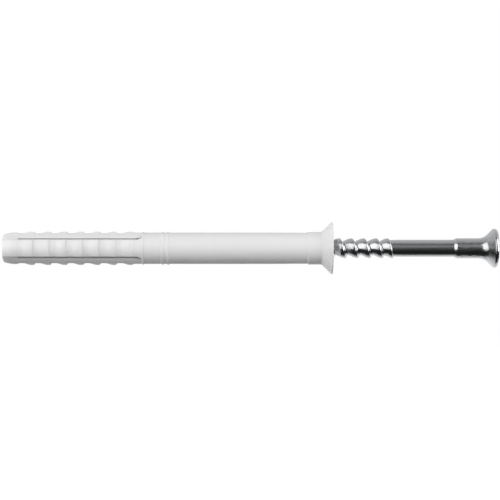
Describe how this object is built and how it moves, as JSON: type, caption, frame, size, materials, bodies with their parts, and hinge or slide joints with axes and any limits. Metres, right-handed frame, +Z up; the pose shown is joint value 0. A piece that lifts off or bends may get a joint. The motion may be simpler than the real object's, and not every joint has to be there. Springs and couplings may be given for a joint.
{
  "type": "hammer-in nail wall plug",
  "caption": "Hammer-in wall plug: ribbed, slotted nylon sleeve with a countersunk collar, and a coarse-threaded countersunk nail half driven into it.",
  "frame": {"origin": "centre of the collar's outer face, which lies flush with the surface of the fastened piece", "axes": "the common axis of the sleeve and the nail lies along X, with the nail's head at +X and the sleeve's tip at -X; +Z is up as in the picture, with the slots at 45 degrees to Y and Z"},
  "size_m": [0.12, 0.0126, 0.0126],
  "materials": {
    "nylon": "moulded satin surface, natural light grey",
    "zinc_plated_steel": "bright zinc plate"
  },
  "bodies": {
    "root": {"plug_sleeve": "nylon", "nail_screw": "zinc_plated_steel"}
  },
  "joints": []
}
